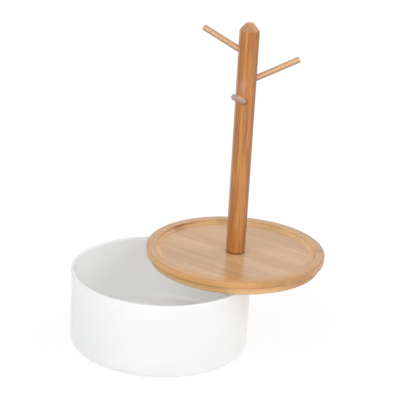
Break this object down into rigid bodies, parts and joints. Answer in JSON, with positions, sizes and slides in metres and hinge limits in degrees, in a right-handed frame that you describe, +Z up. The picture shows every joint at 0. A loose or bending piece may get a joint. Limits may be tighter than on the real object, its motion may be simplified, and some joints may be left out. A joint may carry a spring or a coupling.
{
  "type": "earring stand",
  "caption": "Round ceramic bowl with a layered bamboo tray lid laid across its rim, and a faceted bamboo post with slanting pegs for hanging earrings.",
  "frame": {"origin": "centre of the bowl's flat underside, on the surface that the stand stands on", "axes": "+Z up along the bowl's axis and the post, +X to the right as pictured, towards the side on which the lid hangs over, +Y away from the viewer"},
  "size_m": [0.2117, 0.1777, 0.2696],
  "materials": {
    "bowl_glaze": "glossy white glaze",
    "lid_tray_bamboo": "clear varnished bamboo",
    "lid_base_bamboo": "clear varnished bamboo",
    "post_bamboo": "clear varnished bamboo, a warmer brown than the lid",
    "peg_bamboo": "sanded bamboo dowel",
    "screw_steel": "zinc plated"
  },
  "bodies": {
    "bowl": {"bowl": "bowl_glaze"},
    "lid": {"lid_tray": "lid_tray_bamboo", "lid_base": "lid_base_bamboo", "post": "post_bamboo", "peg_upper_left": "peg_bamboo", "peg_right": "peg_bamboo", "peg_front": "peg_bamboo", "post_screw": "screw_steel"}
  },
  "joints": [
    {"name": "lid_lift", "type": "slide", "parent": "bowl", "child": "lid", "axis": [0, 0, 1], "range_m": [0, 0.08]}
  ]
}
